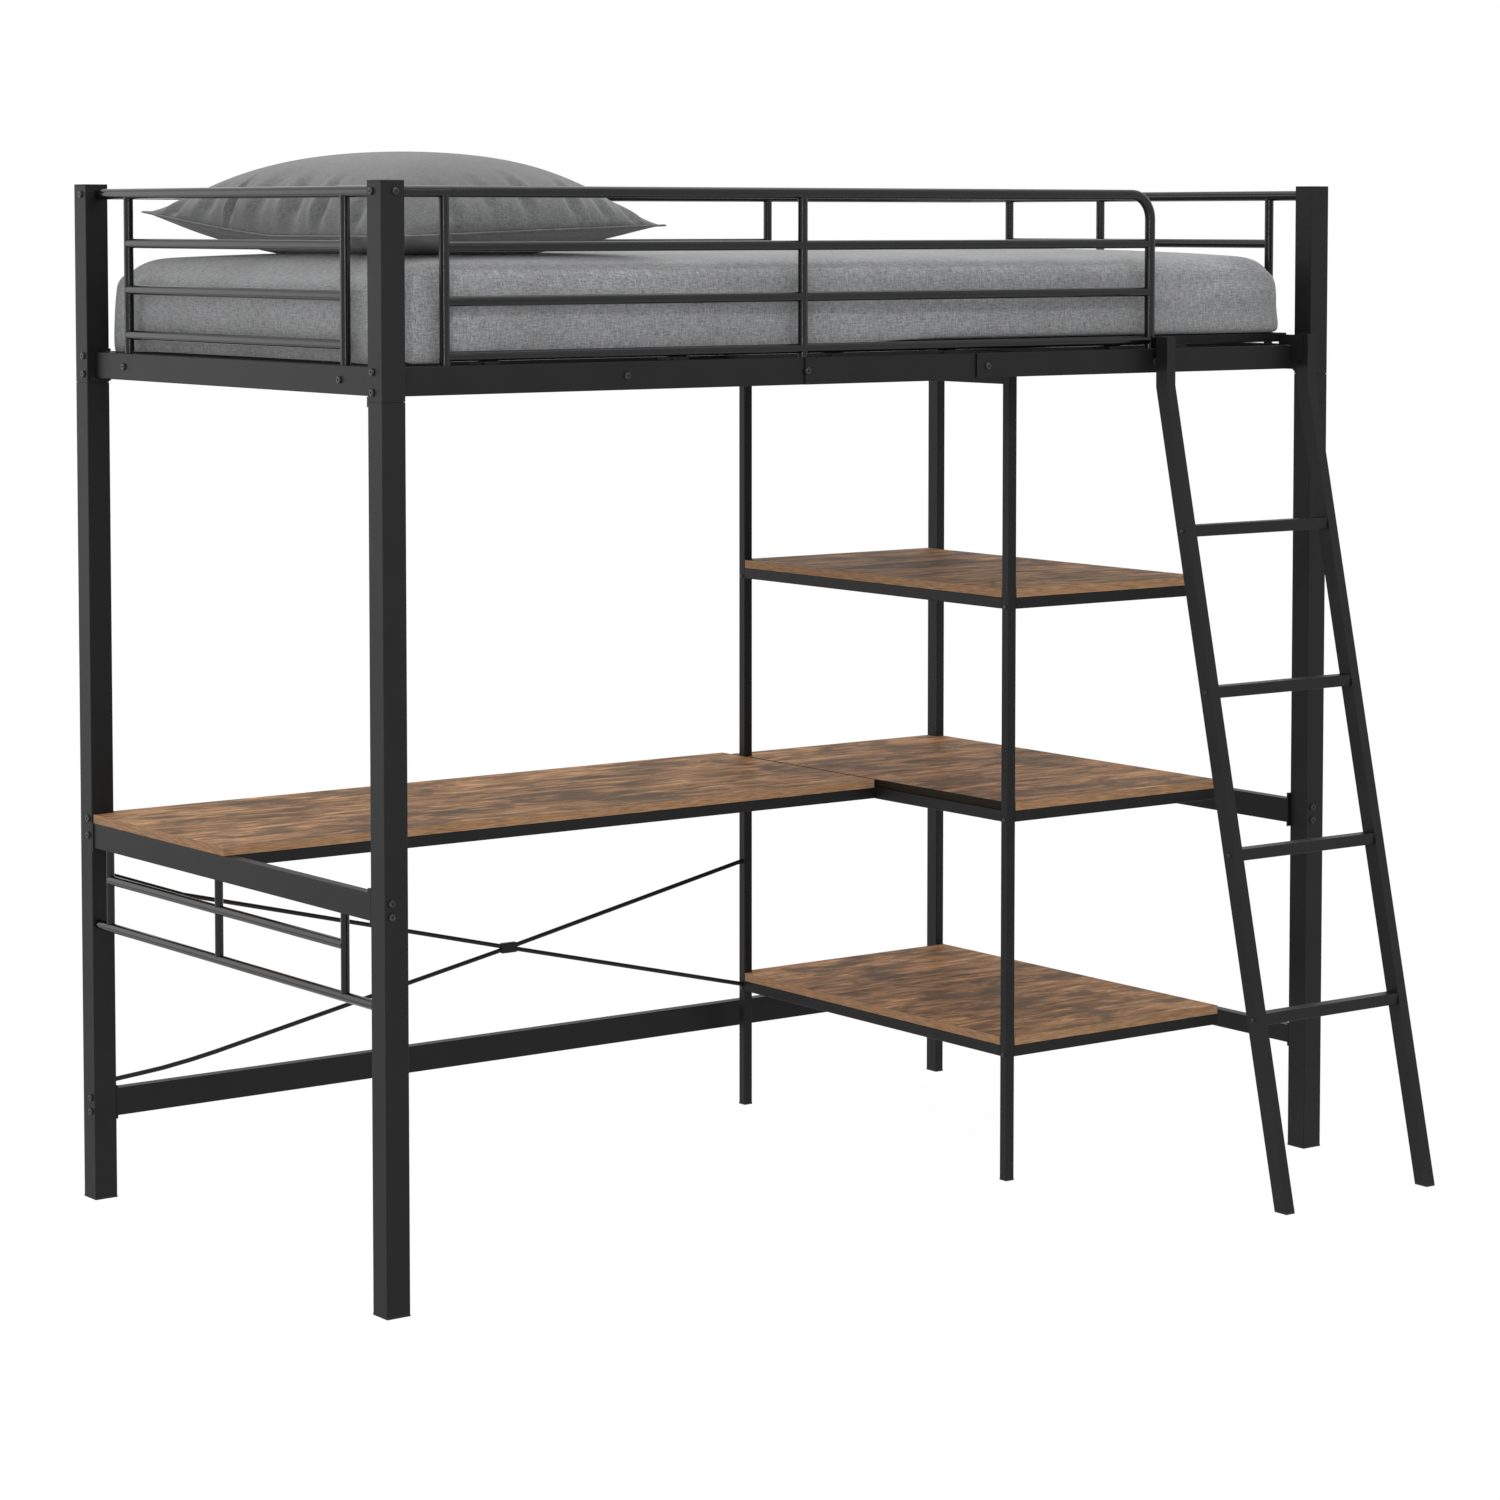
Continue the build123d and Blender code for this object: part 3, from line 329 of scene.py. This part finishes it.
def make_object(name, points, faces, smooth=True):
    """A mesh object of points in the shared frame."""
    mesh = bpy.data.meshes.new(name)
    mesh.from_pydata(points.tolist(), [], [list(map(int, f)) for f in faces])
    mesh.update()
    mesh.polygons.foreach_set("use_smooth", np.full(len(mesh.polygons), smooth))
    made = bpy.data.objects.new(name, mesh)
    bpy.context.scene.collection.objects.link(made)
    return made


def points_of(mesh):
    """A mesh's points as an array."""
    flat = np.empty(len(mesh.vertices) * 3)
    mesh.vertices.foreach_get("co", flat)
    return flat.reshape(-1, 3)


def put_points(mesh, points):
    """Moves a mesh's points to new places."""
    mesh.vertices.foreach_set("co", points.ravel())
    mesh.update()


def box_grid(counts):
    """Surface of a box from -1 to 1 as quads: a grid on each of the six sides, with shared points merged."""
    points, faces, start = [], [], 0
    for axis in range(3):
        others = [(axis + 1) % 3, (axis + 2) % 3]
        for side in (-1, 1):
            a = np.linspace(-1, 1, counts[others[0]] + 1)
            b = np.linspace(-1, 1, counts[others[1]] + 1)
            grid_a, grid_b = np.meshgrid(a, b, indexing="ij")
            block = np.empty((grid_a.size, 3))
            block[:, axis] = side
            block[:, others[0]] = grid_a.ravel()
            block[:, others[1]] = grid_b.ravel()
            quads = grid_quads(len(a), len(b)) + start
            faces.append(quads if side > 0 else quads[:, ::-1])
            points.append(block)
            start += len(block)
    points, faces = np.concatenate(points), np.concatenate(faces)
    kept, index = np.unique(np.round(points, 6), axis=0, return_inverse=True)
    return kept, index.ravel()[faces]


def grid_quads(rows, columns):
    """Corner numbers of the quads of a grid of rows by columns points, turning from row to column."""
    i, j = np.meshgrid(np.arange(rows - 1), np.arange(columns - 1), indexing="ij")
    first = (i * columns + j).ravel()
    return np.stack([first, first + columns, first + columns + 1, first + 1], axis=1)


def rounded(points, low, high, radii):
    """Box points moved onto a box with rounded edges: each is drawn to an inner box that is smaller by the
    radii all round, then pushed out from it onto an ellipsoid of those radii."""
    low, high = np.array(low), np.array(high)
    middle, half = (low + high) / 2, (high - low) / 2
    reach = points * half
    inner = np.clip(reach, -(half - radii), half - radii)
    out = (reach - inner) / radii
    length = np.linalg.norm(out, axis=1, keepdims=True)
    return middle + inner + out / np.maximum(length, 1e-9) * radii


def round_plan(points, low, high, radius):
    """Upright corners of a box rounded in plan, each point by its own radius: inside a corner's square, a
    point is drawn in from the square's rim to the circle's."""
    middle = (np.array(low) + np.array(high))[:2] / 2
    half = (np.array(high) - np.array(low))[:2] / 2
    away = points[:, :2] - middle
    past = np.maximum(np.abs(away) - (half - radius[:, None]), 0)
    length = np.linalg.norm(past, axis=1)
    scale = np.where(length > 1e-9, past.max(1) / np.maximum(length, 1e-9), 1)
    points = points.copy()
    points[:, :2] -= np.sign(away) * past * (1 - scale)[:, None]
    return points


def smooth_step(value, low, high):
    """0 below low, 1 above high, smooth in between."""
    t = np.clip((value - low) / (high - low), 0, 1)
    return t * t * (3 - 2 * t)


def bell(place, centre, width):
    """1 at the centre, falling away on both sides as the exponential of the squared distance in widths."""
    return np.exp(-(((place - centre) / width) ** 2))


def settle(made, cap, frames, stiffness, pressure, free, hold=None):
    """Cloth simulation with air pressure and no gravity. No point moves further than the cap times its share
    in free, and the held points don't move."""
    start = points_of(made.data)
    cloth = made.modifiers.new("cloth", "CLOTH")
    settings = cloth.settings
    settings.quality = 6
    settings.mass = 0.35
    settings.tension_stiffness = stiffness
    settings.compression_stiffness = stiffness
    settings.shear_stiffness = stiffness * 0.4
    settings.bending_stiffness = 0.35
    settings.tension_damping = 12
    settings.use_pressure = True
    settings.uniform_pressure_force = pressure
    settings.effector_weights.gravity = 0
    if hold is not None:
        group = made.vertex_groups.new(name="held")
        group.add([int(i) for i in np.flatnonzero(hold)], 1.0, "REPLACE")
        settings.vertex_group_mass = "held"
    cloth.collision_settings.use_collision = False
    cloth.point_cache.frame_start = 1
    cloth.point_cache.frame_end = frames
    for step in range(1, frames + 1):
        bpy.context.scene.frame_set(step)
    graph = bpy.context.evaluated_depsgraph_get()
    moved = points_of(made.evaluated_get(graph).to_mesh())
    made.modifiers.remove(cloth)
    shift = moved - start
    length = np.linalg.norm(shift, axis=1, keepdims=True)
    shift *= np.minimum(1, cap / np.maximum(length, 1e-9))
    put_points(made.data, start + shift * np.asarray(free)[:, None])
    bpy.context.scene.frame_set(1)


def weave_map(made):
    """Gives each face corner its place on the cloth: the two coordinates across the face's direction."""
    mesh = made.data
    points = points_of(mesh)
    normals = np.empty(len(mesh.polygons) * 3)
    mesh.polygons.foreach_get("normal", normals)
    main = np.abs(normals.reshape(-1, 3)).argmax(1)
    totals = np.empty(len(mesh.polygons), np.int64)
    mesh.polygons.foreach_get("loop_total", totals)
    corners = np.empty(len(mesh.loops), np.int64)
    mesh.loops.foreach_get("vertex_index", corners)
    main = np.repeat(main, totals)
    at = points[corners]
    first = np.where(main == 0, at[:, 1], at[:, 0])
    second = np.where(main == 2, at[:, 1], at[:, 2])
    layer = mesh.uv_layers.new(name="weave")
    layer.data.foreach_set("uv", np.stack([first, second], 1).ravel())


def soften(made):
    """One live subdivision, the same in view and render."""
    smooth = made.modifiers.new("smooth", "SUBSURF")
    smooth.levels = 1
    smooth.render_levels = 1


def mattress():
    """Foam mattress in a sewn cover: a box whose edge radii grow with height and are largest at its ends,
    with sides that pull in a little between the corners. The top is crowned by one minus powers of the
    place along and across, with shallow hollows from a product of sines, and the cover hangs in a lip
    outside the base at the head end and along the front left."""
    grid, faces = box_grid(MATTRESS_GRID)
    u, v, w = grid.T
    height = (w + 1) / 2
    ends = smooth_step(np.abs(u), 0.84, 0.98)
    radius_along = 0.014 + 0.076 * height
    radius_across = 0.012 + 0.016 * height
    radius_up = 0.012 + (0.024 + 0.028 * ends) * height
    radii = np.stack([radius_along, radius_across, radius_up], 1)
    points = rounded(grid, MATTRESS_LOW, MATTRESS_HIGH, radii)
    points = round_plan(points, MATTRESS_LOW, MATTRESS_HIGH, np.where(v < 0, FRONT_CORNER, BACK_CORNER))
    points[:, 0] -= 0.006 * u * (1 - v**2)
    points[:, 1] -= 0.005 * v * (1 - u**2)
    top = np.clip(height * 2 - 1, 0, 1) ** 2
    points[:, 2] += MATTRESS_CROWN * top * (1 - u**8) * (1 - np.abs(v) ** 2.4)
    hollows = np.sin(5.1 * u + 1.3 * v + 0.6) * np.sin(2.3 * v - 1.7 * u + 1.1)
    points[:, 2] += 0.0025 * top * hollows * (1 - u**8) * (1 - v**8)
    points[:, 1] += 0.0016 * np.sin(17 * u + 3 * w) * np.sin(5 * u) * (1 - w**2) * np.sign(v) * v**8
    crease = bell(points[:, 0], 0.075, 0.01) + 0.6 * bell(points[:, 0], 0.118, 0.014)
    points[:, 1] += 0.005 * crease * (v < -0.9) * smooth_step(height, 0.0, 0.3)
    low_left = 1 - smooth_step(points[:, 0], 0.9, 1.2)
    outside = np.maximum(smooth_step(BASE_EDGE - points[:, 1], 0.0, 0.006) * low_left,
                         smooth_step(BASE_EDGE - points[:, 0], 0.0, 0.006))
    deeper = 0.007 * (1 - smooth_step(points[:, 0], 0.14, 0.185))
    points[:, 2] -= (MATTRESS_LIP + deeper) * outside * (1 - smooth_step(height, 0.0, 0.5))
    made = make_object("mattress_cover", placed(points), faces)
    settle(made, MATTRESS_GIVE, 12, 22, 3.0, smooth_step(height, 0.02, 0.4))
    weave_map(made)
    soften(made)
    return made


def pillow_shape(u, v, side):
    """Pillow panel at u, v from -1 to 1, side 1 above the seam and -1 below it. The outline pulls in
    between pointed corners, and the panel stands off the seam by the product of two bows, one across and
    one along, so it is thickest in the middle and flat at the corners."""
    x = PILLOW_MIDDLE[0] + PILLOW_HALF[0] * u * (1 - 0.075 * (1 - v**2) * u**2)
    y = PILLOW_MIDDLE[1] + PILLOW_HALF[1] * v * (1 - 0.045 * (1 - u**2) * v**2)
    corner = (u * v) ** 2
    back = np.clip(v, 0, 1) ** 1.3
    seam = PILLOW_SEAM + 0.0044 * (1 + u) * (1 - v) + back * (0.0335 - 0.0065 * u)
    bow = np.sqrt(np.clip((1 - np.abs(u) ** 2.3) * (1 - np.abs(v) ** 2.3), 0, 1))
    if side > 0:
        return np.stack([x, y, seam + (PILLOW_TOP - seam) * bow ** (0.8 + 0.6 * corner)], -1)
    fall = np.clip(bow * 1.15, 0, 1)
    return np.stack([x, y, seam - (seam - PILLOW_SEAT) * fall**1.25], -1)


def gathers(u, v):
    """Short creases that run in from the seam: narrow dips across the edge that fade towards the middle."""
    dip = np.zeros_like(u)
    for centre, width, deep, lean in PILLOW_CREASES:
        if centre < 2:
            across, inward = v - centre - lean * (1 + u), 1 + u
        else:
            across, inward = u - (centre - 4) - lean * (1 + v), 1 + v
        fade = bell(inward, 0, 0.15) * np.clip(inward / 0.03, 0, 1)
        dip += deep * bell(across, 0, width) * fade
        dip -= 0.5 * deep * bell(across, 1.7 * width, width) * fade
    return dip


# Creases of the pillow: place along the head-end edge from -1 to 1, or 4 more than that along the front
# edge, then width, depth in metres, and lean.
PILLOW_CREASES = (
    (0.80, 0.03, 0.010, 0.04),
    (0.56, 0.045, 0.009, -0.10),
    (0.37, 0.016, 0.016, -0.03),
    (0.16, 0.05, 0.008, -0.08),
    (-0.12, 0.05, 0.014, 0.08),
    (-0.33, 0.03, 0.013, -0.05),
    (-0.62, 0.04, 0.009, 0.05),
    (3.45, 0.05, 0.009, 0.06),
    (3.75, 0.04, 0.007, -0.12),
    (4.02, 0.035, 0.014, -0.06),
    (4.37, 0.03, 0.013, 0.06),
    (4.60, 0.03, 0.009, -0.06),
    (4.80, 0.025, 0.009, 0.05),
)


def pillow():
    """Stuffed pillow of two panels that share one seam. Their grid crowds towards the seam by a part of a
    sine, air pressure fills them, and the creases are pushed in along the normals."""
    rows, columns = PILLOW_GRID
    u, v = np.meshgrid(np.linspace(-1, 1, rows), np.linspace(-1, 1, columns), indexing="ij")
    u, v = np.sin(u * math.pi / 2) * 0.35 + u * 0.65, np.sin(v * math.pi / 2) * 0.35 + v * 0.65
    above = pillow_shape(u.ravel(), v.ravel(), 1)
    below = pillow_shape(u.ravel(), v.ravel(), -1)
    numbers = np.arange(rows * columns).reshape(rows, columns)
    rim = np.zeros((rows, columns), bool)
    rim[[0, -1], :] = True
    rim[:, [0, -1]] = True
    lower = numbers.copy()
    lower[~rim] = rows * columns + np.arange((~rim).sum())
    points = np.concatenate([above, below[~rim.ravel()]])
    quads = grid_quads(rows, columns)
    faces = np.concatenate([quads, lower.ravel()[quads][:, ::-1]])
    made = make_object("pillow_case", placed(points), faces)
    inside = np.concatenate([~rim.ravel(), np.full(int((~rim).sum()), True)])
    settle(made, PILLOW_GIVE, 16, 14, 3.0, inside, ~inside)
    at = points_of(made.data)
    normals = np.empty(at.size)
    made.data.vertices.foreach_get("normal", normals)
    dips = gathers(u.ravel(), v.ravel())
    at[: len(dips)] -= normals.reshape(-1, 3)[: len(dips)] * dips[:, None]
    at[:, 2] = np.maximum(at[:, 2], PILLOW_SEAT - PILLOW_SINK)
    put_points(made.data, at)
    weave_map(made)
    outline = np.concatenate([numbers[:, 0], numbers[-1, 1:], numbers[-2::-1, -1], numbers[0, -2:0:-1]])
    seam = seam_cord(at[outline])
    soften(made)
    return made, seam


def seam_cord(line):
    """Flat sewn edge that follows a closed line: a small oval, wider than it is high, carried along it."""
    ahead = np.roll(line, -1, 0) - np.roll(line, 1, 0)
    ahead /= np.linalg.norm(ahead, axis=1, keepdims=True)
    up = np.array([0.0, 0.0, 1.0])
    side = np.cross(ahead, up)
    side /= np.linalg.norm(side, axis=1, keepdims=True)
    turn = np.linspace(0, math.tau, 8, endpoint=False)
    ring = side[:, None] * (SEAM_HALF_WIDTH * np.cos(turn))[None, :, None]
    ring = ring + np.cross(side, ahead)[:, None] * (SEAM_HALF_HEIGHT * np.sin(turn))[None, :, None]
    points = (line[:, None] + ring).reshape(-1, 3)
    around, count = len(turn), len(line)
    i, j = np.meshgrid(np.arange(count), np.arange(around), indexing="ij")
    next_i, next_j = (i + 1) % count, (j + 1) % around
    corners = [i * around + j, next_i * around + j, next_i * around + next_j, i * around + next_j]
    faces = np.stack([c.ravel() for c in corners], 1)
    made = make_object("pillow_seam", points, faces)
    weave_map(made)
    return made


# ---- studio --------------------------------------------------------------------------------------------


def studio():
    """Evenly lit floor, soft light all round, large soft lights at the head end and overhead, and two narrow
    strips that draw a line along the tubes."""
    size = 60.0
    corners = np.array([(-size, -size, 0), (size, -size, 0), (size, size, 0), (-size, size, 0)], float)
    floor = make_object("studio_floor", corners, [(0, 1, 2, 3)], smooth=False)
    paint = Paint("lit_floor", Specular_IOR_Level=0.0, Emission_Strength=1.0)
    cloud = paint.noise(paint.object_place(), 0.6, 2)
    paint.set(Base_Color=paint.mix(cloud, (0.02, 0.02, 0.02), (0.03, 0.03, 0.03)),
              Emission_Color=paint.mix(cloud, (0.975, 0.975, 0.975), (0.985, 0.985, 0.985)),
              Roughness=0.8 + cloud * 0.1)
    floor.data.materials.append(paint.material)

    world = bpy.data.worlds.new("soft_white")
    bpy.context.scene.world = world
    world.use_nodes = True
    sky = next(n for n in world.node_tree.nodes if n.type == "BACKGROUND")
    sky.inputs["Color"].default_value = (1.0, 1.0, 1.0, 1)
    sky.inputs["Strength"].default_value = 1.0

    area_light("head_end_light", (-3.6, 3.8, 1.7), (-0.6, 0, 0.9), (4.0, 3.0), 38)
    area_light("overhead_light", (0.3, 0.4, 4.6), (0, 0, 0), (4.0, 4.0), 60)
    area_light("front_strip", (-0.6, -3.2, 3.6), (0, 0, 1.4), (4.0, 0.07), 46)
    area_light("side_strip", (-2.9, -2.6, 1.7), (0, 0, 1.2), (0.15, 2.6), 26)


def area_light(name, place, aim, size, power):
    """A rectangular light that points at a place."""
    data = bpy.data.lights.new(name, "AREA")
    data.shape = "RECTANGLE"
    data.size, data.size_y = size
    data.energy = power
    made = bpy.data.objects.new(name, data)
    made.location = place
    made.rotation_euler = (Vector(aim) - Vector(place)).to_track_quat("-Z", "Y").to_euler()
    bpy.context.scene.collection.objects.link(made)


def camera():
    """Camera off the head end's front corner, a little below the bed's top and looking slightly down. The
    shift leaves room for the whole bed in the views from other sides too."""
    place = Vector(placed((-3.22856, -5.28993, 1.68758)))
    turn, dip = 0.63809, -0.06347
    ahead = Vector((math.sin(turn) * math.cos(dip), math.cos(turn) * math.cos(dip), math.sin(dip)))
    data = bpy.data.cameras.new("camera")
    data.lens = 97.798
    data.sensor_width = 36
    data.shift_y = -0.18
    data.clip_end = 200
    made = bpy.data.objects.new("camera", data)
    made.location = place
    made.rotation_euler = ahead.to_track_quat("-Z", "Y").to_euler()
    bpy.context.scene.collection.objects.link(made)
    bpy.context.scene.camera = made


# ---- the bed -------------------------------------------------------------------------------------------


finish_nodes()
cover = mattress()
cover.data.materials.append(woven_cloth("mattress_cloth", (0.08, 0.081, 0.083), (0.32, 0.323, 0.329), 1.0))
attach(cover, "mattress")
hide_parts("mattress")

case, seam = pillow()
pillow_cloth = woven_cloth("pillow_cloth", (0.056, 0.0565, 0.0575), (0.146, 0.1475, 0.15), 1.1)
for piece in (case, seam):
    piece.data.materials.append(pillow_cloth)
    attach(piece, "pillow")
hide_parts("pillow")

studio()
camera()
bpy.context.scene.view_settings.view_transform = "Standard"
